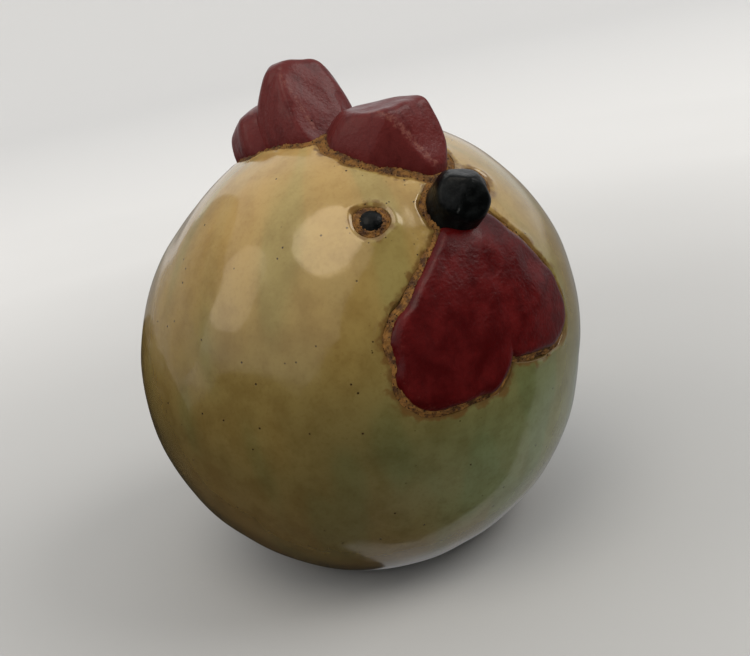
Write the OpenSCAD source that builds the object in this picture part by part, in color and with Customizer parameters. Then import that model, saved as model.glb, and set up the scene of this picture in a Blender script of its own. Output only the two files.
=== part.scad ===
// Round hollow ceramic chicken: a thrown ball with a three-lobed comb, a beak, a wattle and two eyes.
// Each applied piece is a lump of clay set on a bed of slip, in a shallow seat cut into the ball.
// Axes: +Z up, the chicken looks along -Y, its left side is +X. The origin is the centre of the
// foot, on the table. Places on the head are given as a latitude (+ toward the chicken's left) and
// an elevation (0 at the front horizon, 90 at the top), both seen from the head's centre.

/* [Ball] */
// Outer radius of the ball
ball_r = 60; // [59:0.5:61]
// Height of the ball's centre above the table
ball_z = 53; // [52:0.5:55]
// Outer radius of the head swelling
head_r = 57; // [56.5:0.5:57.5]
// Distance from the ball's centre to the head's centre
head_shift = 9; // [8:0.5:10]
// Elevation of the head's centre, seen from the ball's centre
head_el = 50; // [46:1:54]
// Thickness of the wall
wall = 5; // [4:0.5:7]

/* [Foot] */
// Thickness of the floor over the foot ring
floor_t = 6; // [5:0.5:8]
// Radius of the recess inside the foot ring
recess_r = 20; // [16:1:22]
// Depth of the recess
recess_d = 1.5; // [1:0.5:2]
// Diameter of the firing vent in the floor
vent_d = 9; // [6:1:12]

/* [Slip beds] */
// Depth of each seat in the ball
seat_d = 1.2; // [1:0.1:1.6]
// Depth of the slip's face below the glaze
slip_d = 0.4; // [0.3:0.1:0.6]
// Width of slip that shows around the front comb lobe
band_front = 2; // [1.5:0.1:3]
// Width of slip that shows around the other comb lobes
band_back = 1.3; // [1:0.1:2]
// Width of slip that shows around the beak
band_beak = 1.3; // [1:0.1:2]
// Width of slip that shows around the wattle
band_wattle = 1.4; // [1:0.1:2.4]

/* [Eyes] */
// Radius of an eye pellet
eye_r = 3; // [2.4:0.1:3.2]
// Radius of the slip ring around an eye
eye_ring_r = 4.3; // [4:0.1:5.4]
// Height of an eye pellet above its slip
eye_h = 1.2; // [0.8:0.1:1.6]
// Latitude of the right eye
eye_right_lat = -18; // [-20:0.5:-16]
// Latitude of the left eye
eye_left_lat = 15; // [14.5:0.5:18]
// Elevation of both eyes
eye_el = 46; // [44:0.5:48]

/* [Beak] */
// Radius of the beak's base
beak_r = 7; // [6.6:0.2:7.8]
// Height of the beak above the ball
beak_h = 11.2; // [9.6:0.2:11.6]
// Latitude of the beak
beak_lat = 1.5; // [0:0.5:2]
// Elevation of the beak
beak_el = 40; // [38.5:0.5:41]

/* [Wattle] */
// Thickness of the wattle above the ball
wattle_t = 2; // [1.5:0.1:2.6]
// Elevation of the middle of the wattle
wattle_el = 15; // [14:0.5:16]

/* [Hidden] */

head_c = [0, -head_shift * cos(head_el), ball_z + head_shift * sin(head_el)];
seat_r = head_r - seat_d;
slip_r = head_r - slip_d;
reach = 2 * ball_r;
eps = 0.5;
// Facets round every large sphere, fine enough for thin shells between two of them
fine = 300;

// Where each comb lobe stands: latitude and elevation of its middle
front_at = [1, 64];
middle_at = [-4, 89];
rear_at = [-10, 107];

// Outlines on the head, as circles [across, up, radius] in the plane that touches it there
front_outline = [[3.8, -7, 6.6], [-3.2, 1, 7.6], [-4.6, 7.5, 7.4], [-2.5, 9.5, 7.5], [3.5, 1, 8.5]];
middle_outline = [[-2, -2, 8.5], [-2.5, 7, 9.5], [4, 2, 9]];
rear_outline = [[-1, -5, 8], [1.2, 1.2, 8.2]];
wattle_right = [[-17, -7.8, 10.2], [-16.2, -1.5, 10.3], [-8, -9.8, 8.8], [3.2, 16.5, 7.7]];
wattle_left = [[14.5, -6.3, 8.7], [13, -2, 9.6], [4.5, -7.2, 6.8], [3.2, 16.5, 7.7]];

// High points of each comb lobe: [latitude, elevation, distance from the head's centre]
front_crest = [
    [4, 51.3, 59.4], [-2.6, 61.8, 67.2], [7.5, 59.5, 65.6], [6, 54, 63.5], [2.7, 68, 66],
    [-4, 66, 66.4], [-3, 75.7, 62.5]
];
middle_crest = [
    [-6.5, 92, 75.8], [-3, 93, 74.6], [-8, 95, 72.5], [1, 90, 71], [-6.5, 86, 71.5], [-6, 100, 71.5],
    [-5, 84, 66]
];
rear_crest = [[-14, 100, 65], [-8.5, 103, 66.8], [-9, 110, 65], [-11, 113, 62.5], [-4, 105, 66]];

// Faces where neighbouring lobes meet: [latitude, elevation, turn]
front_joint = [-2, 80, 0];
rear_joint = [-7, 99, 28];

// Puts its children on a spot of the head, z outward, x toward the chicken's left, y up
module on_head(lat, el, r)
    translate(head_c) rotate([90 - el, 0, 0]) rotate([0, lat, 0]) translate([0, 0, r]) children();

module at_head_centre() translate(head_c) children();

// Upright prism over a rounded outline, through the wall and out of it
module prism(at, outline, grow)
    on_head(at[0], at[1], head_r / 2)
        linear_extrude(reach / 2)
            hull()
                for (c = outline)
                    translate([c[0], c[1]]) circle(r = c[2] + grow, $fn = 48);

module front_prism(grow = 0) prism(front_at, front_outline, grow);
module middle_prism(grow = 0) prism(middle_at, middle_outline, grow);
module rear_prism(grow = 0) prism(rear_at, rear_outline, grow);

module wattle_prism(grow = 0) {
    prism([0, wattle_el], wattle_right, grow);
    prism([0, wattle_el], wattle_left, grow);
}

module beak_prism(grow = 0)
    on_head(beak_lat, beak_el, head_r / 2)
        cylinder(r = beak_r + grow, h = reach / 2, $fn = 96);

module eye_prism(lat, r)
    on_head(lat, eye_el, head_r / 2)
        cylinder(r = r, h = reach / 2, $fn = 64);

// Everything past the face where two lobes meet
module past(joint)
    on_head(joint[0], joint[1], 0) rotate([0, 0, joint[2]])
        translate([-reach / 2, 0, 0]) cube([reach, reach, reach]);

// The slip that fills a seat up to just below the glaze
module slip_layer()
    at_head_centre() difference() {
        sphere(r = slip_r, $fn = fine);
        sphere(r = seat_r, $fn = fine);
    }

// A pinched lump of clay over an outline, with rounded high points
module lump(at, outline, crest, tip_r)
    difference() {
        hull() {
            on_head(at[0], at[1], head_r - 6)
                for (c = outline)
                    translate([c[0], c[1], 0]) cylinder(r = c[2], h = 5.5, $fn = 32);
            for (p = crest)
                on_head(p[0], p[1], p[2] - tip_r) sphere(r = tip_r, $fn = 24);
        }
        at_head_centre() sphere(r = slip_r, $fn = fine);
    }

module solid_ball() {
    translate([0, 0, ball_z]) sphere(r = ball_r, $fn = fine);
    at_head_centre() sphere(r = head_r, $fn = fine);
}

module cavity()
    intersection() {
        union() {
            translate([0, 0, ball_z]) sphere(r = ball_r - wall, $fn = fine);
            at_head_centre() sphere(r = head_r - wall, $fn = fine);
        }
        translate([-reach, -reach, floor_t]) cube([2 * reach, 2 * reach, 2 * reach]);
    }

module seats()
    difference() {
        union() {
            front_prism(band_front);
            middle_prism(band_back);
            rear_prism(band_back);
            wattle_prism(band_wattle);
            beak_prism(band_beak);
            eye_prism(eye_right_lat, eye_ring_r);
            eye_prism(eye_left_lat, eye_ring_r);
        }
        at_head_centre() sphere(r = seat_r, $fn = fine);
    }

module body_shell() color("khaki")
    difference() {
        solid_ball();
        translate([-reach, -reach, -reach]) cube([2 * reach, 2 * reach, reach]);
        cavity();
        translate([0, 0, -eps]) cylinder(r = recess_r, h = recess_d + eps, $fn = 96);
        translate([0, 0, -eps]) cylinder(d = vent_d, h = floor_t + 2 * eps, $fn = 48);
        seats();
    }

module comb_front_lobe() color("firebrick")
    difference() {
        lump(front_at, front_outline, front_crest, 3);
        past(front_joint);
        beak_prism();
    }

module comb_middle_lobe() color("firebrick")
    difference() {
        intersection() {
            lump(middle_at, middle_outline, middle_crest, 3.5);
            past(front_joint);
        }
        past(rear_joint);
    }

module comb_rear_lobe() color("firebrick")
    intersection() {
        lump(rear_at, rear_outline, rear_crest, 5);
        past(rear_joint);
    }

// A blunt dome: a short straight skirt under a round nose that is taller than it is wide
module beak() color("black")
    difference() {
        on_head(beak_lat, beak_el, 0)
            rotate_extrude($fn = 96)
                intersection() {
                    union() {
                        translate([0, head_r + beak_h - beak_r]) circle(r = beak_r, $fn = 96);
                        square([beak_r, head_r + beak_h - beak_r]);
                    }
                    translate([0, head_r / 2]) square([2 * beak_r, head_r]);
                }
        at_head_centre() sphere(r = slip_r, $fn = fine);
    }

module wattle() color("darkred")
    difference() {
        intersection() {
            wattle_prism();
            at_head_centre() sphere(r = head_r + wattle_t, $fn = fine);
        }
        at_head_centre() sphere(r = slip_r, $fn = fine);
        beak_prism();
    }

// A pellet pressed into the slip: a low dome
module eye(lat) color("black")
    difference() {
        intersection() {
            eye_prism(lat, eye_r);
            on_head(lat, eye_el, slip_r + eye_h - 2 * eye_r) sphere(r = 2 * eye_r, $fn = 96);
        }
        at_head_centre() sphere(r = slip_r, $fn = fine);
    }

module eye_right() eye(eye_right_lat);
module eye_left() eye(eye_left_lat);

module slip_beak() color("peru")
    intersection() {
        beak_prism(band_beak);
        slip_layer();
    }

module slip_wattle() color("peru")
    difference() {
        intersection() {
            wattle_prism(band_wattle);
            slip_layer();
        }
        beak_prism(band_beak);
    }

module slip_comb_front() color("peru")
    difference() {
        intersection() {
            front_prism(band_front);
            slip_layer();
        }
        beak_prism(band_beak);
    }

module slip_comb_middle() color("peru")
    difference() {
        intersection() {
            middle_prism(band_back);
            slip_layer();
        }
        front_prism(band_front);
    }

module slip_comb_rear() color("peru")
    difference() {
        intersection() {
            rear_prism(band_back);
            slip_layer();
        }
        middle_prism(band_back);
        front_prism(band_front);
    }

module slip_eye(lat) color("peru")
    intersection() {
        eye_prism(lat, eye_ring_r);
        slip_layer();
    }

module slip_eye_right() slip_eye(eye_right_lat);
module slip_eye_left() slip_eye(eye_left_lat);

body_shell();
comb_front_lobe();
comb_middle_lobe();
comb_rear_lobe();
beak();
wattle();
eye_right();
eye_left();
slip_comb_front();
slip_comb_middle();
slip_comb_rear();
slip_beak();
slip_wattle();
slip_eye_right();
slip_eye_left();
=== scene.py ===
"""Round hollow ceramic chicken: its glazed looks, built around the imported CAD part."""

import math

import bpy
import numpy as np
from mathutils import Matrix, Vector


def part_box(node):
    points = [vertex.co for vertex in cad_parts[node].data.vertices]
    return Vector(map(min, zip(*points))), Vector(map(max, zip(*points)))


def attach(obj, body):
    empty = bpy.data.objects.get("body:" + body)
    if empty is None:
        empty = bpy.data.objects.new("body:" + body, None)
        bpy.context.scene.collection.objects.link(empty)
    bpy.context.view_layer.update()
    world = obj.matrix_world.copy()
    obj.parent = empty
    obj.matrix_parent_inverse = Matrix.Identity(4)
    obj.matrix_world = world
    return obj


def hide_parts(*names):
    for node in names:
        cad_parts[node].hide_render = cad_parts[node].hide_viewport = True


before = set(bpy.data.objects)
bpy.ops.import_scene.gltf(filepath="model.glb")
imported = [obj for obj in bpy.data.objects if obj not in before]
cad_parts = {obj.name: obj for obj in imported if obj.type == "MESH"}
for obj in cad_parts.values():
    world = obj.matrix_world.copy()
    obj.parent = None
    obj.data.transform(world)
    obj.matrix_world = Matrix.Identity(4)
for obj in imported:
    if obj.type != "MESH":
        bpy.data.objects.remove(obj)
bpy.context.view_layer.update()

MM = 0.001
RNG = np.random.default_rng(7)

# ---------------------------------------------------------------- sizes shared with the CAD part
SEAT_D = 1.2 * MM  # depth of a seat in the ball
SLIP_D = 0.4 * MM  # depth of the slip's face
WALL = 5 * MM
FLOOR_T = 6 * MM  # thickness of the floor over the foot ring
RECESS_R, RECESS_D = 20 * MM, 1.5 * MM  # recess inside the foot ring
VENT_R = 4.5 * MM  # firing vent in the floor
WATTLE_T = 2.0 * MM
HEAD_EL = 50  # elevation of the head's centre, seen from the ball's centre
HEAD_SHARE = 0.95  # radius of the head's swelling, as a share of the ball's

shell_lo, shell_hi = (np.array(v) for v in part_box("body_shell"))
BALL_R = (shell_hi[0] - shell_lo[0]) / 2
HEAD_R = HEAD_SHARE * BALL_R
# The slip under the middle lobe covers the very top of the head
head_c = np.array([0, shell_lo[1] + HEAD_R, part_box("slip_comb_middle")[1][2] - HEAD_R + SLIP_D])
head_way = np.array([0, -math.cos(math.radians(HEAD_EL)), math.sin(math.radians(HEAD_EL))])
head_shift = -head_c[1] / math.cos(math.radians(HEAD_EL))
ball_c = head_c - head_shift * head_way

# Outlines on the head, as in the CAD part: circles [across, up, radius] in millimetres, in the plane
# that touches the head at a latitude and an elevation. Each list of circles is wrapped as if by a
# stretched string. The band is the width of slip that shows around the outline.
FRONT = dict(
    at=(1, 64),
    wraps=[[[3.8, -7, 6.6], [-3.2, 1, 7.6], [-4.6, 7.5, 7.4], [-2.5, 9.5, 7.5], [3.5, 1, 8.5]]],
    band=2.0,
)
MIDDLE = dict(at=(-4, 89), wraps=[[[-2, -2, 8.5], [-2.5, 7, 9.5], [4, 2, 9]]], band=1.3)
REAR = dict(at=(-10, 107), wraps=[[[-1, -5, 8], [1.2, 1.2, 8.2]]], band=1.3)
WATTLE = dict(
    at=(0, 15),
    wraps=[
        [[-17, -7.8, 10.2], [-16.2, -1.5, 10.3], [-8, -9.8, 8.8], [3.2, 16.5, 7.7]],
        [[14.5, -6.3, 8.7], [13, -2, 9.6], [4.5, -7.2, 6.8], [3.2, 16.5, 7.7]],
    ],
    band=1.4,
    middle=(0, 3),
)
BEAK = dict(at=(1.5, 40), wraps=[[[0, 0, 7]]], band=1.3)
EYE_R, EYE_RING_R = 3.0, 4.3


# ---------------------------------------------------------------- directions, spots and outlines
def unit(v):
    return v / np.linalg.norm(v, axis=-1, keepdims=True)


def aim(lat, el):
    """Unit direction from the head's centre: latitude toward the left, elevation over the front."""
    la, e = np.radians(lat), np.radians(el)
    return np.stack([np.sin(la), -np.cos(la) * np.cos(e), np.cos(la) * np.sin(e)], axis=-1)


def node_at(node):
    """Latitude and elevation of a CAD node's middle, seen from the head's centre."""
    lo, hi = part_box(node)
    d = unit(np.array((lo + hi) / 2) - head_c)
    return math.degrees(math.asin(d[0])), math.degrees(math.atan2(d[2], -d[1]))


EYES = {
    side: dict(at=node_at(f"eye_{side}"), wraps=[[[0, 0, EYE_R]]], band=EYE_RING_R - EYE_R)
    for side in ("right", "left")
}
SEATS = [FRONT, MIDDLE, REAR, WATTLE, BEAK, *EYES.values()]


def axes(spot):
    """Local axes of a spot on the head: across (toward the left), up, outward."""
    la, e = math.radians(spot["at"][0]), math.radians(spot["at"][1])
    x = np.array([math.cos(la), math.sin(la) * math.cos(e), -math.sin(la) * math.sin(e)])
    y = np.array([0, math.sin(e), math.cos(e)])
    return x, y, np.cross(x, y)


def local(spot, points):
    """Coordinates across, up and outward from the head's centre, in metres."""
    x, y, n = axes(spot)
    p = points - head_c
    return p @ x, p @ y, p @ n


def placed(spot, u, v, w):
    x, y, n = axes(spot)
    return head_c + u[..., None] * x + v[..., None] * y + w[..., None] * n


WAYS = np.linspace(0, 2 * math.pi, 240, endpoint=False)
WAY_DIRS = np.stack([np.cos(WAYS), np.sin(WAYS)])
FAR_OFF = 1.0  # metres, further than any part of the object


def supports(wrap):
    """How far the string round some circles reaches, in each of the WAYS."""
    c = np.array(wrap) * MM
    return (c[:, :2] @ WAY_DIRS + c[:, 2:]).max(0)


def gap(spot, u, v):
    """Signed distance from a spot's outline, negative inside, and the direction away from it."""
    chunk = 20000  # points at a time, to save memory
    best, away = np.full(u.shape, FAR_OFF), np.zeros(u.shape + (2,))
    flat_u, flat_v = u.ravel(), v.ravel()
    flat_best, flat_away = best.ravel(), away.reshape(-1, 2)
    for wrap in spot["wraps"]:
        h = supports(wrap)
        for start in range(0, len(flat_u), chunk):
            part = slice(start, start + chunk)
            d = np.outer(flat_u[part], WAY_DIRS[0]) + np.outer(flat_v[part], WAY_DIRS[1]) - h
            k = d.argmax(1)
            d = d[np.arange(len(k)), k]
            closer = d < flat_best[part]
            flat_best[part] = np.where(closer, d, flat_best[part])
            flat_away[part] = np.where(closer[:, None], WAY_DIRS[:, k].T, flat_away[part])
    return flat_best.reshape(u.shape), flat_away.reshape(u.shape + (2,))


def reach(spot, theta):
    """Distance from the outline's middle to the outline, along each angle."""
    mid = np.array(spot.get("middle", (0, 0))) * MM
    t = np.stack([np.cos(theta), np.sin(theta)])
    facing = WAY_DIRS.T @ t
    grazing = 1e-3  # sides that face away less than this are not met
    best = np.zeros(len(theta))
    for wrap in spot["wraps"]:
        room = supports(wrap) - mid @ WAY_DIRS
        exits = np.where(facing > grazing, room[:, None] / np.maximum(facing, grazing), FAR_OFF)
        best = np.maximum(best, exits.min(0))
    return best


# ---------------------------------------------------------------- unevenness
def waves(count, shortest, longest):
    """Random plane waves: wave vectors, phases and weights, for smooth noise in space."""
    size = np.exp(RNG.uniform(np.log(shortest), np.log(longest), count))
    k = unit(RNG.normal(size=(count, 3))) * (2 * math.pi / size)[:, None]
    weight = size / np.sqrt((size**2).sum() / 2)
    return k, RNG.uniform(0, 2 * math.pi, count), weight


def noise(points, table):
    """Smooth noise of about unit spread at each point."""
    k, phase, weight = table
    total = np.zeros(points.shape[:-1])
    for ki, pi, wi in zip(k, phase, weight):
        total += wi * np.cos(points @ ki + pi)
    return total


HAND = waves(26, 28 * MM, 80 * MM)  # broad swellings of the ball
TOOLING = waves(30, 9 * MM, 22 * MM)  # shallow dents left by tools
CRUST = waves(44, 0.8 * MM, 3.0 * MM)  # lumps in the slip
GRAIN = waves(50, 0.35 * MM, 0.8 * MM)  # grains in the slip
WOBBLE = waves(24, 4 * MM, 14 * MM)  # uneven outlines
PINCH = waves(24, 5 * MM, 16 * MM)  # marks of pinching on the applied pieces
RUNS = waves(26, 5 * MM, 22 * MM)  # runs in the glaze
HAND_RISE, TOOLING_RISE = 0.11 * MM, 0.07 * MM


def smooth(x, a, b):
    t = np.clip((x - a) / (b - a), 0, 1)
    return t * t * (3 - 2 * t)


def softmin(heights, k):
    """Smallest of several heights, rounded where two are nearly equal."""
    stack = np.stack(heights)
    low = stack.min(0)
    return low - k * np.log(np.exp(-(stack - low) / k).sum(0))


def softmax(a, b, k):
    return -softmin([-a, -b], k)


def skin_radius(d):
    """Distance from the ball's centre to the glaze along unit directions d."""
    c = head_c - ball_c
    along = d @ c
    far = along + np.sqrt(along**2 - c @ c + HEAD_R**2)
    blend = 0.25 * MM  # softness of the crease between the ball and the head
    r = softmax(np.full(far.shape, BALL_R), far, blend)
    p = d * BALL_R
    return r + HAND_RISE * noise(p, HAND) + TOOLING_RISE * noise(p, TOOLING)


ROUNDS = 5  # steps that bring a point onto the glaze


def on_skin(e):
    """Points of the glaze on rays from the head's centre along unit directions e."""
    rho = np.full(e.shape[:-1], HEAD_R)
    for _ in range(ROUNDS):
        p = head_c + e * rho[..., None] - ball_c
        r = np.linalg.norm(p, axis=-1)
        d = p / r[..., None]
        rho = rho + (skin_radius(d) - r) / (d * e).sum(-1)
    return head_c + e * rho[..., None]


def skin_level(spot, u, v):
    """Height of the glaze over a spot's plane, measured outward from the head's centre."""
    n = axes(spot)[2]
    w = np.sqrt(np.maximum(HEAD_R**2 - u**2 - v**2, 1e-6))
    for _ in range(ROUNDS):
        p = placed(spot, u, v, w) - ball_c
        r = np.linalg.norm(p, axis=-1)
        d = p / r[..., None]
        w = w + (skin_radius(d) - r) / np.maximum(d @ n, 0.2)
    return w


# ---------------------------------------------------------------- meshes
def make_object(name, verts, faces, attributes=()):
    mesh = bpy.data.meshes.new(name)
    mesh.from_pydata([tuple(p) for p in verts], [], faces)
    mesh.validate()
    mesh.shade_smooth()
    for key, values in attributes:
        if values.ndim == 1:
            mesh.attributes.new(key, "FLOAT", "POINT").data.foreach_set("value", values)
        else:
            rgba = np.hstack([values, np.ones((len(values), 1))])
            mesh.attributes.new(key, "FLOAT_COLOR", "POINT").data.foreach_set("color", rgba.ravel())
    made = bpy.data.objects.new(name, mesh)
    bpy.context.scene.collection.objects.link(made)
    return made


def bands(rings, turns, first):
    """Quads between neighbouring rings of points. first is the index of the first ring's first point."""
    faces = []
    for i in range(rings - 1):
        a, b = first + i * turns, first + (i + 1) * turns
        faces += [(a + j, b + j, b + (j + 1) % turns, a + (j + 1) % turns) for j in range(turns)]
    return faces


def closed_rings(rings, first, last):
    """Points and faces of a closed skin: one point, rings of equal length, one point."""
    turns = rings.shape[1]
    verts = np.vstack([first[None], rings.reshape(-1, 3), last[None]])
    end = 1 + (len(rings) - 1) * turns
    faces = [(0, 1 + j, 1 + (j + 1) % turns) for j in range(turns)]
    faces += bands(len(rings), turns, 1)
    faces += [(end + j, len(verts) - 1, end + (j + 1) % turns) for j in range(turns)]
    return verts, faces


def pillow(name, spot, turns, steps, top, depth, wobble, grow=0.0):
    """Closed piece over a spot's outline, from its top down to a depth below the glaze. top gives the
    heights and any marks from (u, v, distance in from the edge, level of the glaze). steps are the shares
    of the way from the middle to the edge."""
    theta = np.linspace(0, 2 * math.pi, turns, endpoint=False)
    mid = np.array(spot.get("middle", (0, 0))) * MM
    plain = reach(spot, theta)
    edge = plain + grow
    rim = placed(spot, mid[0] + edge * np.cos(theta), mid[1] + edge * np.sin(theta), np.full(turns, HEAD_R))
    edge = edge + wobble * noise(rim, WOBBLE)
    share = np.asarray(steps)[:, None]
    u = mid[0] + share * edge * np.cos(theta)
    v = mid[1] + share * edge * np.sin(theta)
    level = skin_level(spot, u, v)
    inside = np.maximum(edge - plain - gap(spot, u, v)[0], 0)
    w_top, extra = top(u, v, inside, level)
    w_low = level - depth
    outer = placed(spot, u, v, w_top)
    inner = placed(spot, u, v, w_low)[::-1]
    rings = np.concatenate([outer[1:], inner[:-1]])
    verts, faces = closed_rings(rings, outer[0].mean(0), inner[-1].mean(0))
    marks = []
    for key, values in extra.items():
        low = np.zeros(values.shape)[::-1]
        flat = np.concatenate([values[:1, 0], values[1:].ravel(), low[:-1].ravel(), low[-1:, 0]])
        marks.append((key, flat))
    return make_object(name, verts, faces, marks)


def steps_out(count, crowd):
    """Shares from 0 to 1, crowded toward the edge when crowd is above 1."""
    t = np.linspace(0, 1, count)
    return 1 - (1 - t) ** crowd


# ---------------------------------------------------------------- shader helpers
class Graph:
    """A material's node tree, with short calls for the nodes used here."""

    def __init__(self, name):
        self.material = bpy.data.materials.new(name)
        self.material.use_nodes = True
        self.tree = self.material.node_tree
        self.tree.nodes.clear()
        self.place = self.node("ShaderNodeTexCoord").outputs["Object"]

    def node(self, kind, **settings):
        made = self.tree.nodes.new(kind)
        for key, value in settings.items():
            setattr(made, key, value)
        return made

    def feed(self, socket, value):
        if isinstance(value, bpy.types.NodeSocket):
            self.tree.links.new(value, socket)
        elif isinstance(value, tuple) and len(value) == 3 and socket.type == "RGBA":
            socket.default_value = (*value, 1)
        else:
            socket.default_value = value

    def noise(self, size, detail=3.0, rough=0.5, place=None):
        made = self.node("ShaderNodeTexNoise")
        self.feed(made.inputs["Vector"], place or self.place)
        self.feed(made.inputs["Scale"], 1 / size)
        self.feed(made.inputs["Detail"], detail)
        self.feed(made.inputs["Roughness"], rough)
        return made.outputs["Fac"]

    def cells(self, size):
        """Distance to the nearest cell's middle, and a random colour for each cell."""
        made = self.node("ShaderNodeTexVoronoi")
        self.feed(made.inputs["Vector"], self.place)
        self.feed(made.inputs["Scale"], 1 / size)
        return made.outputs["Distance"], made.outputs["Color"]

    def stretched(self, x, y, z):
        made = self.node("ShaderNodeMapping")
        self.feed(made.inputs["Vector"], self.place)
        made.inputs["Scale"].default_value = (x, y, z)
        return made.outputs["Vector"]

    def math(self, kind, a, b=0.0, clamp=False):
        made = self.node("ShaderNodeMath", operation=kind, use_clamp=clamp)
        self.feed(made.inputs[0], a)
        self.feed(made.inputs[1], b)
        return made.outputs[0]

    def ramp(self, value, low, high, start=0.0, end=1.0):
        """start below low, end above high, smooth between."""
        made = self.node("ShaderNodeMapRange", interpolation_type="SMOOTHSTEP")
        ends = {"Value": value, "From Min": low, "From Max": high, "To Min": start, "To Max": end}
        for key, x in ends.items():
            self.feed(made.inputs[key], x)
        return made.outputs["Result"]

    def mix(self, amount, a, b, blend="MIX"):
        made = self.node("ShaderNodeMix", data_type="RGBA", blend_type=blend)
        self.feed(made.inputs[0], amount)
        self.feed(made.inputs[6], a)
        self.feed(made.inputs[7], b)
        return made.outputs[2]

    def mark(self, key):
        return self.node("ShaderNodeAttribute", attribute_name=key).outputs["Fac"]

    def tint(self, key):
        return self.node("ShaderNodeAttribute", attribute_name=key).outputs["Color"]

    def bump(self, height, distance, strength=1.0, below=None):
        made = self.node("ShaderNodeBump")
        self.feed(made.inputs["Height"], height)
        self.feed(made.inputs["Distance"], distance)
        self.feed(made.inputs["Strength"], strength)
        if below is not None:
            self.feed(made.inputs["Normal"], below)
        return made.outputs["Normal"]

    def finish(self, color, roughness, normal, **constants):
        shader = self.node("ShaderNodeBsdfPrincipled")
        self.feed(shader.inputs["Base Color"], color)
        self.feed(shader.inputs["Roughness"], roughness)
        self.feed(shader.inputs["Normal"], normal)
        for key, value in constants.items():
            shader.inputs[key.replace("_", " ")].default_value = value
        end = self.node("ShaderNodeOutputMaterial")
        self.tree.links.new(shader.outputs[0], end.inputs["Surface"])
        return self.material


def cream_glaze():
    """Clear glossy glaze over the broad colours, which carry painted shade and painted light, with iron
    stain, specks and pinholes.
    """
    g = Graph("cream_glaze")
    # Broad colours, with painted shade toward the foot and painted light on the low left
    base = g.tint("glaze")
    mottle = g.noise(7 * MM, 4, 0.6)
    base = g.mix(g.ramp(mottle, 0.35, 0.7, 0.0, 0.35), base, (0.50, 0.37, 0.17), "MULTIPLY")
    fine = g.noise(0.9 * MM, 2)
    base = g.mix(g.ramp(fine, 0.45, 0.75, 0.0, 0.16), base, (0.55, 0.42, 0.2), "MULTIPLY")
    # Iron stain next to the slip
    stain = g.math("ADD", g.mark("edge"), g.ramp(g.noise(2.2 * MM, 3), 0.3, 0.7, -0.7 * MM, 0.9 * MM))
    base = g.mix(g.ramp(stain, 1.6 * MM, 0.1 * MM, 0.0, 0.75), base, (0.10, 0.045, 0.012))
    # Iron specks and pinholes
    spots, pick = g.cells(3.1 * MM)
    speck = g.math("MULTIPLY", g.ramp(spots, 0.12, 0.05), g.ramp(pick, 0.58, 0.62))
    # Closer, smaller specks beside the slip
    dots, choice = g.cells(1.3 * MM)
    near = g.ramp(g.mark("edge"), 5 * MM, 1 * MM)
    dot = g.math("MULTIPLY", g.ramp(dots, 0.22, 0.12), g.ramp(choice, 0.72, 0.8))
    dark = g.math("MAXIMUM", speck, g.math("MULTIPLY", dot, near))
    base = g.mix(dark, base, (0.025, 0.012, 0.004))
    height = g.math("SUBTRACT", g.math("MULTIPLY", g.noise(3.5 * MM, 2), 0.5), g.math("MULTIPLY", dark, 0.6))
    soft = g.bump(g.noise(8 * MM, 2, 0.4), 0.22 * MM)
    normal = g.bump(height, 0.04 * MM, 1.0, soft)
    return g.finish(
        base, g.ramp(fine, 0.3, 0.7, 0.12, 0.18), normal, Specular_Tint=(1, 0.85, 0.6, 1),
        Coat_Weight=0.3, Coat_Roughness=0.06, Coat_IOR=1.5, Specular_IOR_Level=0.5,
    )


def red_glaze():
    """Oxblood glaze, paler on the comb as painted light, rubbed and pitted along its ridges."""
    g = Graph("red_glaze")
    cloud = g.noise(6 * MM, 4, 0.6)
    base = g.mix(g.ramp(cloud, 0.35, 0.7), (0.042, 0.0008, 0.0010), (0.078, 0.0022, 0.0022))
    # Painted light: the comb's lobes lighter and greyer than the wattle, as if more brightly lit
    base = g.mix(g.math("MULTIPLY", g.mark("pale"), 0.8), base, (0.100, 0.015, 0.0135))
    streak = g.noise(3 * MM, 3, 0.6, g.stretched(1, 1, 0.35))
    base = g.mix(g.ramp(streak, 0.5, 0.75, 0.0, 0.5), base, (0.035, 0.0010, 0.0013))
    rub_and_painted_highlight = g.math("ADD", g.mark("wear_and_painted_highlight"), g.ramp(g.noise(1.1 * MM, 4, 0.7), 0.3, 0.7, -0.45, 0.45))
    base = g.mix(g.ramp(rub_and_painted_highlight, 0.5, 1.2, 0.0, 0.45), base, (0.20, 0.075, 0.055))
    spots, pick = g.cells(1.6 * MM)
    pits = g.math("MULTIPLY", g.ramp(spots, 0.26, 0.12), g.ramp(pick, 0.80, 0.86))
    pits = g.math("MULTIPLY", pits, g.ramp(g.mark("wear_and_painted_highlight"), 0.15, 0.8, 0.12, 1.0))
    base = g.mix(pits, base, (0.02, 0.003, 0.003))
    peel = g.math("ADD", g.noise(0.8 * MM, 2), g.math("MULTIPLY", g.noise(2.6 * MM, 2), 1.6))
    peel = g.math("SUBTRACT", peel, g.math("MULTIPLY", pits, 1.2))
    normal = g.bump(peel, 0.14 * MM)
    return g.finish(
        base, g.ramp(cloud, 0.3, 0.7, 0.30, 0.42), normal,
        Coat_Weight=0.1, Coat_Roughness=0.12, Coat_IOR=1.5, Specular_IOR_Level=0.12,
    )


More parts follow.
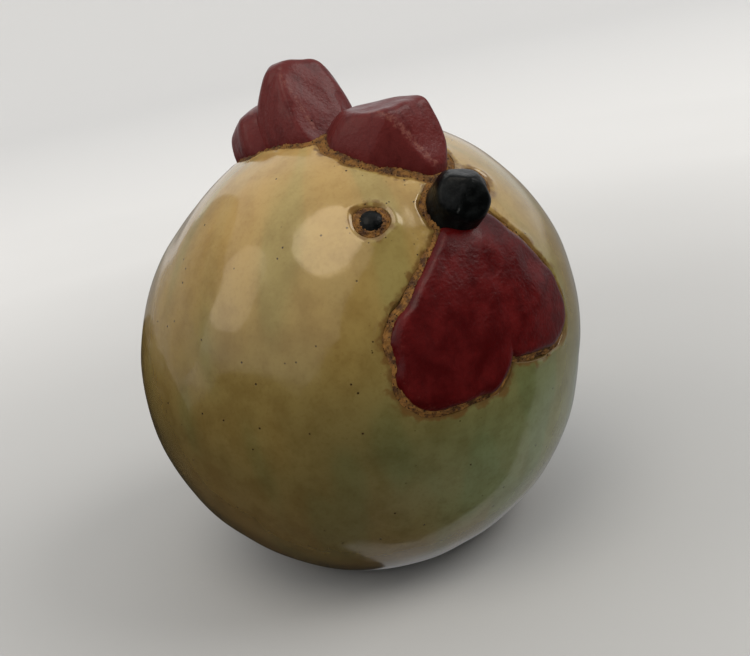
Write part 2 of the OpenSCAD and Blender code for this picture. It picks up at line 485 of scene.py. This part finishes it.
def black_glaze():
    """Black glaze, with painted highlights in grey along its ridges."""
    g = Graph("black_glaze")
    cloud = g.noise(2.4 * MM, 4, 0.6)
    base = g.mix(g.ramp(cloud, 0.4, 0.7), (0.0016, 0.002, 0.002), (0.006, 0.007, 0.007))
    # Painted highlight: grey along the marked ridges of the beak
    rub_and_painted_highlight = g.math("ADD", g.mark("wear_and_painted_highlight"), g.ramp(g.noise(0.8 * MM, 4, 0.7), 0.3, 0.7, -0.4, 0.4))
    base = g.mix(g.ramp(rub_and_painted_highlight, 0.5, 1.0, 0.0, 0.8), base, (0.035, 0.037, 0.036))
    peel = g.math("ADD", g.noise(0.9 * MM, 3), g.math("MULTIPLY", g.noise(2.2 * MM, 2), 1.4))
    normal = g.bump(peel, 0.12 * MM)
    return g.finish(
        base, g.ramp(cloud, 0.3, 0.7, 0.28, 0.4), normal,
        Coat_Weight=0.05, Coat_Roughness=0.15, Coat_IOR=1.5, Specular_IOR_Level=0.07,
    )


def brown_slip():
    """Bare rough slip with black and pale grit."""
    g = Graph("brown_slip")
    cloud = g.noise(2.0 * MM, 5, 0.65)
    base = g.mix(g.ramp(cloud, 0.35, 0.62), (0.052, 0.020, 0.005), (0.20, 0.092, 0.020))
    grit, pick = g.cells(0.55 * MM)
    black = g.math("MULTIPLY", g.ramp(grit, 0.42, 0.2), g.ramp(pick, 0.52, 0.62))
    base = g.mix(black, base, (0.014, 0.007, 0.003))
    sand, choice = g.cells(0.8 * MM)
    pale = g.math("MULTIPLY", g.ramp(sand, 0.35, 0.15), g.ramp(choice, 0.78, 0.84))
    base = g.mix(g.math("MULTIPLY", pale, 0.5), base, (0.28, 0.16, 0.045))
    height = g.math("SUBTRACT", g.noise(0.5 * MM, 3, 0.6), g.math("MULTIPLY", black, 0.5))
    normal = g.bump(height, 0.22 * MM)
    return g.finish(base, g.ramp(cloud, 0.3, 0.7, 0.5, 0.75), normal, Specular_IOR_Level=0.2)


# ---------------------------------------------------------------- the ball
def nearest_seat(points):
    """Signed distance to the nearest seat's edge, the number of its spot and the direction away."""
    none = 50 * MM  # stands for no seat near
    window = (35 * MM, 40 * MM)  # half width and half height that hold any seat
    unevenness = 0.28 * MM
    best = np.full(len(points), none)
    which = np.full(len(points), -1)
    away = np.zeros((len(points), 2))
    for index, spot in enumerate(SEATS):
        u, v, w = local(spot, points)
        near = np.nonzero((w > 0.5 * HEAD_R) & (np.abs(u) < window[0]) & (np.abs(v) < window[1]))[0]
        d, way = gap(spot, u[near], v[near])
        d = d - spot["band"] * MM - unevenness * noise(points[near], WOBBLE)
        closer = d < best[near]
        chosen = near[closer]
        best[chosen], which[chosen], away[chosen] = d[closer], index, way[closer]
    return best, which, away


def foot_profile():
    """Radius and height of the foot ring, recess, vent and cavity floor, from the outside inward."""
    ring = [(7, 0), (4, 0), (1, 0), (0.3, 0.1), (-0.2, 0.6), (-0.7, 1.3)]
    vent = [(0.2, 1.7), (0, 2.4), (0, 5.3), (0.4, 5.9)]
    profile = [(RECESS_R + wider * MM, z * MM) for wider, z in ring]
    profile += [(radius * MM, RECESS_D) for radius in (18.6, 12, 5.4)]
    profile += [(VENT_R + wider * MM, z * MM) for wider, z in vent]
    return profile + [(radius * MM, FLOOR_T) for radius in (6, 16, 28.2)]


def ball_faces():
    """Rings of the ball: outside, foot, vent and cavity. Returns points and faces."""
    turns, outer_rings, inner_rings = 208, 98, 40
    az = np.linspace(0, 2 * math.pi, turns, endpoint=False)
    round_dirs = np.stack([np.cos(az), np.sin(az), 0 * az], axis=-1)
    foot_polar = math.acos(-ball_c[2] / BALL_R)
    rings = []
    for polar in np.linspace(0, foot_polar, outer_rings)[1:]:
        d = round_dirs * math.sin(polar) + np.array([0, 0, math.cos(polar)])
        rings.append(ball_c + d * skin_radius(d)[:, None])
    for radius, z in foot_profile():
        rings.append(round_dirs * radius + np.array([0, 0, z]))
    floor_polar = math.acos((FLOOR_T - ball_c[2]) / (BALL_R - WALL))
    for polar in np.linspace(floor_polar, 0, inner_rings)[1:-1]:
        d = round_dirs * math.sin(polar) + np.array([0, 0, math.cos(polar)])
        rings.append(ball_c + d * (skin_radius(d)[:, None] - WALL))
    up = np.array([[0, 0, 1.0]])
    top = skin_radius(up)[0]
    return closed_rings(np.array(rings), ball_c + up[0] * top, ball_c + up[0] * (top - WALL))


def is_outside(points):
    """True for points of the outer skin, above the foot."""
    slack, foot_h = 2 * MM, 3 * MM
    skin = skin_radius(unit(points - ball_c))
    return (np.linalg.norm(points - ball_c, axis=1) > skin - slack) & (points[:, 2] > foot_h)


def refine_near_seats(verts, faces):
    """Splits the quads close to a seat's edge in four, level by level. Their neighbours keep their
    shape and gain the new points along the edges that they share."""
    limits = (3.8 * MM, 2.3 * MM, 1.15 * MM)
    points = list(verts)
    for limit in limits:
        p = np.array(points)
        d = np.full(len(p), FAR_OFF)
        out = np.nonzero(is_outside(p))[0]
        d[out] = np.abs(nearest_seat(p[out])[0])
        middles, quads, rest = {}, [], []
        for face in faces:
            near = len(face) == 4 and min(d[i] for i in face) < limit
            (quads if near else rest).append(face)
        faces = []
        for face in quads:
            halves = []
            for a, b in zip(face, face[1:] + face[:1]):
                if (min(a, b), max(a, b)) not in middles:
                    middles[min(a, b), max(a, b)] = len(points)
                    points.append((points[a] + points[b]) / 2)
                halves.append(middles[min(a, b), max(a, b)])
            centre = len(points)
            points.append(sum(points[i] for i in face) / 4)
            faces += [(face[i], halves[i], centre, halves[i - 1]) for i in range(4)]
        for face in rest:
            around = []
            for a, b in zip(face, face[1:] + face[:1]):
                around.append(a)
                if (min(a, b), max(a, b)) in middles:
                    around.append(middles[min(a, b), max(a, b)])
            faces.append(tuple(around))
    return np.array(points), faces


def sharpened(points):
    """Slides points toward the seats' edges, so that the lip has close rows of points along it."""
    d, which, away = nearest_seat(points)
    pull, span = 0.5, 0.8 * MM
    shift = -pull * d * np.exp(-((d / span) ** 2))
    moved = points.copy()
    for index, spot in enumerate(SEATS):
        mine = np.nonzero(which == index)[0]
        u, v, w = local(spot, points[mine])
        u, v = u + shift[mine] * away[mine, 0], v + shift[mine] * away[mine, 1]
        moved[mine] = placed(spot, u, v, w)
    return moved


def glaze_colour_and_painted_light(p):
    """Broad colour of the glaze: straw above, olive and brown lower down, green on the chest. The darkening
    toward the foot is partly the glaze's own colour and partly painted shade, and the paler, cooler low left
    is painted light.
    """
    # Colours up the ball, from the foot to the top: darker low down, partly the glaze's own colour and
    # partly painted shade
    heights = [0.0, 0.1, 0.25, 0.45, 0.65, 0.85, 1.0]
    tones_and_painted_shade = np.array([
        [0.110, 0.060, 0.022], [0.145, 0.094, 0.034], [0.135, 0.092, 0.036], [0.117, 0.084, 0.028],
        [0.178, 0.126, 0.038], [0.280, 0.190, 0.062], [0.375, 0.250, 0.085],
    ])
    green_factor = np.array([0.68, 1.0, 1.12])
    amber_factor = np.array([1.06, 0.92, 0.75])
    painted_light_factor = np.array([0.5, 0.9, 1.3])
    z = p[:, 2] / shell_hi[2]
    azimuth = np.arctan2(p[:, 0] - ball_c[0], -(p[:, 1] - ball_c[1]))
    flow = z + 0.035 * noise(p, HAND)
    colour = np.stack([np.interp(flow, heights, tones_and_painted_shade[:, i]) for i in range(3)], axis=-1)
    # Streaks that run down the ball
    run = np.stack([azimuth * 0.045, 0 * azimuth, p[:, 2] * 0.22], axis=-1)
    streak = noise(run, RUNS)
    green = smooth(streak, 0.1, 1.3)[:, None] * 0.35
    chest = np.exp(-((azimuth + 0.02) / 0.68) ** 2) * smooth(z, 0.72, 0.35) * smooth(z, 0.02, 0.25)
    green = np.clip(green + 0.75 * chest[:, None], 0, 0.9)
    # Painted light: paler and cooler toward the chicken's left, low down, and a little lighter all down the
    # left
    left = smooth(azimuth, -0.85, 0.3)[:, None]
    colour = colour * (1 + 0.1 * left + left * smooth(z, 0.6, 0.3)[:, None] * painted_light_factor)
    colour = colour * (1 - green) + colour * green_factor * green
    amber = smooth(-streak, 0.3, 1.4)[:, None] * 0.25
    return colour * (1 - amber) + colour * amber_factor * amber


def body_shell():
    bump_at, bump_r, bump_h = (-15, 24), 1.1 * MM, 0.9 * MM  # a bead of glaze on the cheek
    verts, faces = refine_near_seats(*ball_faces())
    outside = np.nonzero(is_outside(verts))[0]
    p = sharpened(verts[outside])
    edge = nearest_seat(p)[0]
    d = unit(p - ball_c)
    r = skin_radius(d)
    lumpy = 0.5 + 0.5 * np.tanh(noise(p, PINCH))
    # The seat, its rounded lip, and the glaze that pools in a rim around it
    r = r - (SEAT_D - 0.25 * MM) * smooth(edge, 0.05 * MM, -0.45 * MM)
    r = r - 0.25 * MM * smooth(edge, 0.9 * MM, -0.1 * MM)
    r = r + (0.02 + 0.14 * lumpy) * MM * np.exp(-(((edge - 1.1 * MM) / (0.8 * MM)) ** 2))
    from_bump = np.linalg.norm(p - on_skin(aim(*bump_at)), axis=1) / bump_r
    r = r + bump_h * np.exp(-(from_bump**2))
    verts[outside] = ball_c + d * r[:, None]
    verts[:, 2] = np.maximum(verts[:, 2], 0)
    edges = np.full(len(verts), 50 * MM)
    edges[outside] = edge
    return make_object("body_shell_glazed", verts, faces, [("edge", edges), ("glaze", glaze_colour_and_painted_light(verts))])


# ---------------------------------------------------------------- slip, lobes, wattle, beak, eyes
def slip_bed(name, spot, turns):
    """Grainy slip that fills a seat to just below the glaze and crawls up against the piece on it."""
    crust_h, grain_h, climb_h, fall_h = 0.10 * MM, 0.09 * MM, 0.45 * MM, 0.5 * MM
    tuck = 0.8 * MM  # how far the close rows of points reach in under the piece
    rows = 24
    full = reach(spot, np.linspace(0, 2 * math.pi, turns, endpoint=False)).mean()
    band = spot["band"] * MM
    start = max(0.2, (full - tuck) / (full + band))
    steps = np.concatenate([[0, start * 0.6], np.linspace(start, 1, rows)])

    def top(u, v, inside, level):
        p = placed(spot, u, v, level)
        crust = crust_h * noise(p, CRUST) + grain_h * noise(p, GRAIN)
        climb = climb_h * smooth(inside, 0.55 * band, 1.05 * band)
        fall = fall_h * smooth(inside, 0.45 * MM, -0.1 * MM)
        return level - SLIP_D + crust + climb - fall, {}

    return pillow(name, spot, turns, steps, top, SEAT_D, wobble=0.28 * MM, grow=band + 0.25 * MM)


ROOT_D = 0.8 * MM  # how far a lobe or the wattle reaches down into its slip


def plane(spot, *points):
    """Height over a spot's plane of the plane through three points (latitude, elevation, radius in mm)."""
    corners = [aim(lat, el) * radius * MM for lat, el, radius in points]
    x, y, n = axes(spot)
    n3 = np.cross(corners[1] - corners[0], corners[2] - corners[0])
    level = n3 @ corners[0]
    return lambda u, v: (level - u * (n3 @ x) - v * (n3 @ y)) / (n3 @ n)


def lump(name, spot, faces, flank, soft, cap, marks):
    """Pinched lump of clay: flat faces met by rounded flanks that rise from the outline.
    flank is (height, widths over which it rises on the right and left, roundness, shares of the height
    along the spot's up axis). soft rounds the ridges, cap is the radius of the dome that tops the lump,
    and marks are worn ridges: (end, end, width). All lengths are in millimetres."""
    turns, rows = 250, 112
    pinch_h, sunk = 0.2 * MM, 0.4 * MM  # unevenness, and how far the flanks start below the glaze
    middle = 3 * MM  # half of the strip over which the right flank turns into the left one
    heights = [plane(spot, *three) for three in faces]
    rise, widths, power, shares = flank

    def top(u, v, inside, level):
        p = placed(spot, u, v, level)
        width = (widths[0] + (widths[1] - widths[0]) * smooth(u, -middle, middle)) * MM
        out = np.clip(1 - inside / width, 0, 1)
        along = np.interp(v / MM, [x for x, _ in shares], [y for _, y in shares])
        side = level - sunk + rise * MM * along * (1 - out**power) ** (1 / power)
        dome = np.sqrt((cap * MM) ** 2 - u**2 - v**2)
        w = softmin([side, dome] + [h(u, v) for h in heights], soft * MM)
        w = w + pinch_h * noise(p, PINCH) * smooth(inside, 0, 3 * MM)
        wear_and_painted_highlight = np.zeros(u.shape)
        top_points = placed(spot, u, v, w)
        for a, b, broad in marks:
            ends = [aim(*q[:2]) * q[2] * MM for q in (a, b)]
            wear_and_painted_highlight = np.maximum(wear_and_painted_highlight, near_line(top_points, *ends, broad * MM))
        return w, {"wear_and_painted_highlight": wear_and_painted_highlight, "pale": np.ones(u.shape)}

    return pillow(name, spot, turns, steps_out(rows, 1.9), top, ROOT_D, wobble=0.22 * MM)


def near_line(points, a, b, width):
    """1 on the segment from a to b (from the head's centre), falling to 0 about width away."""
    q = points - head_c - a
    t = np.clip(q @ (b - a) / ((b - a) @ (b - a)), 0, 1)
    away = np.linalg.norm(q - t[..., None] * (b - a), axis=-1)
    return np.exp(-((away / width) ** 2))


def comb_front_lobe():
    foot, crest, far, back = (4, 51.3, 59.2), (-2.6, 61.8, 67.6), (7.5, 59.5, 65.2), (-4, 66, 66.9)
    faces = [(foot, crest, far), (back, (3, 68, 66.2), (-3, 75.7, 63.3))]
    flank = (14.5, (8.5, 4.6), 1.6, [(-13, 0.68), (-9, 0.88), (-3, 1), (6, 0.92), (14, 0.68)])
    marks = [(foot, crest, 1.3), (crest, back, 0.8)]
    return lump("comb_front_lobe_glazed", FRONT, faces, flank, 0.75, 70, marks)


def comb_middle_lobe():
    peak, rise, foot, back = (-8, 92, 77.2), (-8, 88, 70.5), (-8.5, 82, 59.4), (-8, 100, 76.2)
    faces = [(peak, foot, (1, 87, 67.9)), (peak, back, (0, 91, 74)), (peak, back, (-13, 92, 72.6))]
    flank = (20, (11, 11), 1.6, [(-10, 0.9), (0, 1), (8, 1), (15, 0.9)])
    marks = [(foot, rise, 1.0), (rise, peak, 1.6)]
    return lump("comb_middle_lobe_glazed", MIDDLE, faces, flank, 1.1, 77, marks)


def comb_rear_lobe():
    top = (-8.5, 103, 67.4)
    faces = [(top, (-15, 99, 65.6), (-4, 99, 67.4)), (top, (-11, 112, 63.6), (-4, 112, 64.5))]
    flank = (13, (9.5, 6.5), 1.8, [(-12, 1), (12, 0.9)])
    marks = [((-14, 98, 65.6), (-9, 104, 67), 0.8)]
    return lump("comb_rear_lobe_glazed", REAR, faces, flank, 0.9, 67.5, marks)


def wattle():
    """Flat slab with two lobes, a rounded rim and a faint groove down its middle."""
    rim_w, groove_h, belly_h, pinch_h, sunk = 2.6 * MM, 0.04 * MM, 0.35 * MM, 0.09 * MM, 0.3 * MM

    def top(u, v, inside, level):
        rim = np.clip(inside / rim_w, 0, 1)
        rise = WATTLE_T * (1 - (1 - rim) ** 2.6) ** 0.5
        p = placed(WATTLE, u, v, level)
        seam = u - (1.5 + 0.08 * (v / MM)) * MM
        groove = groove_h * np.exp(-((seam / (1.6 * MM)) ** 2)) * smooth(inside, 1 * MM, 4 * MM)
        belly = belly_h * smooth(inside, 2 * MM, 11 * MM)
        w = level - sunk + rise + belly - groove
        w = w + pinch_h * noise(p, PINCH) * smooth(inside, 0, 3 * MM)
        rub_and_painted_highlight = smooth(v, -6 * MM, 6 * MM) * smooth(v, 18 * MM, 10 * MM)
        wear_and_painted_highlight = 0.35 * np.exp(-(((inside - 0.9 * MM) / (0.9 * MM)) ** 2))
        wear_and_painted_highlight = wear_and_painted_highlight + 0.2 * rub_and_painted_highlight * np.exp(-((seam / (1.0 * MM)) ** 2))
        return w, {"wear_and_painted_highlight": wear_and_painted_highlight}

    return pillow("wattle_glazed", WATTLE, 420, steps_out(110, 1.5), top, ROOT_D, wobble=0.2 * MM)


def radial_form(spot, middle, turns, rows, faces, oval, skirt, soft):
    """Blunt dome round a middle point on a spot's axis, cut by soft flat faces, over a straight skirt.
    Returns points and faces of the mesh."""
    pinch_h, grazing, skirt_rows = 0.10 * MM, 0.05, 10
    theta = np.linspace(0, 2 * math.pi, turns, endpoint=False)
    polar = np.linspace(0, math.pi / 2, rows)[1:, None]
    across, up, out = np.sin(polar) * np.cos(theta), np.sin(polar) * np.sin(theta), np.cos(polar) + 0 * theta
    dirs = np.stack([across, up, out], -1)
    reach_to = [1 / np.linalg.norm(dirs / oval, axis=-1)]
    for normal, distance in faces:
        facing = dirs @ unit(np.array(normal, float))
        reach_to.append(np.where(facing > grazing, distance / np.maximum(facing, grazing), FAR_OFF))
    r = softmin(reach_to, soft)
    p = dirs * r[..., None]
    q = placed(spot, p[..., 0], p[..., 1], p[..., 2] + middle)
    r = r + pinch_h * noise(q, PINCH)
    p = dirs * r[..., None]
    rim = p[-1]
    down = np.linspace(0, 1, skirt_rows)[1:, None, None]
    wall = rim[None] - down * np.array([0, 0, skirt])
    p = np.concatenate([p, wall])
    tip_r = r[0].mean()
    rings = placed(spot, p[..., 0], p[..., 1], p[..., 2] + middle)
    ends = placed(spot, np.zeros(2), np.zeros(2), np.array([middle + tip_r, middle - skirt]))
    verts, faces = closed_rings(rings, ends[0], ends[1])
    return verts, faces


def beak():
    """Blunt faceted dome with painted highlights along two ridges."""
    middle = HEAD_R + 4.2 * MM
    cuts = [
        ((0.10, 0.62, 0.77), 6.0 * MM), ((-0.67, -0.12, 0.73), 5.8 * MM),
        ((-0.25, -0.66, 0.71), 5.8 * MM), ((0.75, -0.15, 0.65), 6.2 * MM),
    ]
    oval, skirt, soft = np.array([6.8, 7.2, 7.1]) * MM, 5.2 * MM, 0.3 * MM
    verts, faces = radial_form(BEAK, middle, 160, 70, cuts, oval, skirt, soft)
    # Painted highlights along two ridges: two ends across, up and outward, and a width
    ridges = [((-0.5, -0.6, 67.9), (-5.2, -4.1, 63.2), 0.45), ((-4, 4.6, 65.6), (4, 4.8, 65.6), 1.2)]
    wear_and_painted_highlight = np.zeros(len(verts))
    for a, b, width in ridges:
        ends = [placed(BEAK, *(np.array([x * MM]) for x in q))[0] - head_c for q in (a, b)]
        wear_and_painted_highlight = np.maximum(wear_and_painted_highlight, near_line(verts, *ends, width * MM))
    return make_object("beak_glazed", verts, faces, [("wear_and_painted_highlight", wear_and_painted_highlight)])


def eye(side):
    """Small domed pellet in its ring of slip."""
    dome_h, pinch_h, sunk, root = 1.25 * MM, 0.05 * MM, 0.1 * MM, 0.9 * MM
    spot = EYES[side]

    def top(u, v, inside, level):
        rim = np.clip(inside / (EYE_R * MM), 0, 1)
        dome = (1 - (1 - rim) ** 2.4) ** 0.5
        p = placed(spot, u, v, level)
        return level - SLIP_D - sunk + dome_h * dome + pinch_h * noise(p, PINCH), {"wear_and_painted_highlight": 0 * u}

    return pillow(f"eye_{side}_glazed", spot, 96, steps_out(30, 1.6), top, root, wobble=0.12 * MM)


# ---------------------------------------------------------------- pieces
LOOKS = {
    "cream_glaze": cream_glaze(),
    "red_glaze": red_glaze(),
    "black_glaze": black_glaze(),
    "brown_slip": brown_slip(),
}


def settle(made, node, slot):
    """Gives a piece its glaze and puts it in the place of its CAD node."""
    made.data.materials.append(LOOKS[slot])
    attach(made, "root")
    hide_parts(node)


settle(body_shell(), "body_shell", "cream_glaze")
settle(comb_front_lobe(), "comb_front_lobe", "red_glaze")
settle(comb_middle_lobe(), "comb_middle_lobe", "red_glaze")
settle(comb_rear_lobe(), "comb_rear_lobe", "red_glaze")
settle(wattle(), "wattle", "red_glaze")
settle(beak(), "beak", "black_glaze")
for side in ("right", "left"):
    settle(eye(side), f"eye_{side}", "black_glaze")
    settle(slip_bed(f"slip_eye_{side}_grain", EYES[side], 140), f"slip_eye_{side}", "brown_slip")
for part, spot, turns in (
    ("comb_front", FRONT, 320), ("comb_middle", MIDDLE, 300), ("comb_rear", REAR, 300),
    ("wattle", WATTLE, 560), ("beak", BEAK, 260),
):
    settle(slip_bed(f"slip_{part}_grain", spot, turns), f"slip_{part}", "brown_slip")


# ---------------------------------------------------------------- studio
def sweep():
    """Pale floor that curves up all round, darker toward its middle round the ball with painted shade.
    Reflections leave it out: the glazes mirror the world, the lights and the flags in its place."""
    turns, flat, curve = 96, 1.6, 0.9
    az = np.linspace(0, 2 * math.pi, turns, endpoint=False)
    ways = np.stack([np.cos(az), np.sin(az), 0 * az], axis=-1)
    rings = [ways * r for r in (0.05, 0.1, 0.2, 0.3, 0.45, 0.7, 1.1, flat)]
    for t in np.linspace(0, math.pi / 2, 14)[1:]:
        rings.append(ways * (flat + curve * math.sin(t)) + np.array([0, 0, curve * (1 - math.cos(t))]))
    verts = np.vstack([np.zeros((1, 3)), np.vstack(rings)])
    faces = [(0, 1 + j, 1 + (j + 1) % turns) for j in range(turns)] + bands(len(rings), turns, 1)
    far = smooth(np.linalg.norm(verts, axis=1), 0.03, 0.6)
    made = make_object("studio_sweep", verts, faces, [("far", far)])
    g = Graph("pale_paper")
    # Painted shade: the floor darker close to the ball, paler far out
    painted_floor_shade = g.math("ADD", g.mark("far"), g.ramp(g.noise(0.2, 2), 0.3, 0.7, 0.0, 0.05), True)
    colour = g.mix(painted_floor_shade, (0.375, 0.378, 0.375), (0.66, 0.66, 0.655))
    grain = g.bump(g.noise(1.5 * MM), 0.02 * MM)
    made.data.materials.append(g.finish(colour, 0.85, grain, Specular_IOR_Level=0.2))
    made.visible_glossy = False


def flag(name, way, half_angle, shade=0.012):
    """Black or grey cloth on one side of the ball, seen only in reflections, that keeps the glazes deep."""
    turns, rows, distance = 64, 12, 0.6
    axis = Vector(way).normalized()
    turn = axis.to_track_quat("Z", "Y").to_matrix()
    az = np.linspace(0, 2 * math.pi, turns, endpoint=False)
    rings = [np.stack([np.sin(a) * np.cos(az), np.sin(a) * np.sin(az), np.cos(a) + 0 * az], -1)
             for a in np.linspace(0.02, math.radians(half_angle), rows)]
    verts = ball_c + distance * np.vstack(rings) @ np.array(turn).T
    made = make_object(name, verts, [tuple(range(turns))] + bands(rows, turns, 0))
    g = Graph(name)
    colour = g.mix(g.noise(0.01, 2), (shade,) * 3, (1.4 * shade,) * 3)
    weave = g.bump(g.noise(1 * MM), 0.02 * MM)
    made.data.materials.append(g.finish(colour, 0.9, weave, Specular_IOR_Level=0.1))
    made.visible_camera = made.visible_diffuse = made.visible_shadow = made.visible_transmission = False


def panel(name, way, size, power, tint):
    """Oval light that faces the ball's centre from a direction."""
    distance = 2.4
    light = bpy.data.lights.new(name, "AREA")
    light.shape, light.size, light.size_y = "ELLIPSE", size[0], size[1]
    light.energy, light.color = power, tint
    made = bpy.data.objects.new(name, light)
    way = Vector(way).normalized()
    made.location = Vector(ball_c) + way * distance
    made.rotation_mode = "QUATERNION"
    made.rotation_quaternion = way.to_track_quat("Z", "Y")
    made.visible_camera = False
    bpy.context.scene.collection.objects.link(made)


def studio():
    sweep()
    flag("flag_front", (0.1, -0.99, 0.1), 50)
    flag("flag_below", (-0.2, -0.81, -0.55), 58)
    flag("flag_side", (-0.75, 0.1, -0.6), 40)
    flag("flag_behind", (-0.45, 0.84, 0.3), 28, 0.3)
    flag("flag_low_behind", (-0.3, 0.75, -0.6), 38, 0.04)
    panel("overhead", (-0.33, -0.21, 0.92), (1.38, 1.38), 16, (1, 0.9, 0.76))
    panel("side_window", (-0.77, 0.36, 0.53), (1.2, 1.6), 6, (1, 0.9, 0.76))
    panel("right_window", (0.5, -0.5, 0.7), (1.3, 1.3), 22, (1, 0.97, 0.93))
    surroundings()
    bpy.context.scene.view_settings.view_transform = "Standard"


def surroundings():
    """Light from all round, dim below the horizon, where the table is, and bright above it."""
    world = bpy.data.worlds.new("studio")
    world.use_nodes = True
    tree = world.node_tree
    up = tree.nodes.new("ShaderNodeSeparateXYZ")
    tree.links.new(tree.nodes.new("ShaderNodeTexCoord").outputs["Generated"], up.inputs[0])
    share = tree.nodes.new("ShaderNodeMapRange")
    share.inputs["From Min"].default_value = -1
    sky = tree.nodes.new("ShaderNodeValToRGB")
    levels = sky.color_ramp.elements
    levels[0].position, levels[0].color = 0.48, (0.25, 0.25, 0.24, 1)
    levels[1].position, levels[1].color = 0.52, (0.78, 0.78, 0.78, 1)
    levels.new(1.0).color = (0.88, 0.88, 0.88, 1)
    tree.links.new(up.outputs["Z"], share.inputs["Value"])
    tree.links.new(share.outputs["Result"], sky.inputs["Fac"])
    tree.nodes["Background"].inputs["Color"].default_value = (0.985, 0.99, 1, 1)
    tree.links.new(sky.outputs["Color"], tree.nodes["Background"].inputs["Strength"])
    bpy.context.scene.world = world


def camera():
    """The viewing angle: a little above, from the chicken's right front, tilted sideways by the lean."""
    azimuth, elevation, lean, distance = -33.35, 18.2, 11.73, 0.300
    aside, above = 3.9, 6.15  # how far the camera is off the line through the ball's centre, millimetres
    a, e = math.radians(azimuth), math.radians(elevation)
    back = Vector((math.sin(a) * math.cos(e), -math.cos(a) * math.cos(e), math.sin(e)))
    turn = (-back).to_track_quat("-Z", "Y") @ Matrix.Rotation(math.radians(-lean), 3, "Z").to_quaternion()
    right, up = turn @ Vector((1, 0, 0)), turn @ Vector((0, 1, 0))
    data = bpy.data.cameras.new("camera")
    data.lens, data.sensor_width = 51.5, 36
    data.clip_start, data.clip_end = 0.01, 20
    made = bpy.data.objects.new("camera", data)
    made.rotation_mode = "QUATERNION"
    made.rotation_quaternion = turn
    made.location = Vector(ball_c) + back * distance + right * aside * MM + up * above * MM
    bpy.context.scene.collection.objects.link(made)
    bpy.context.scene.camera = made


studio()
camera()
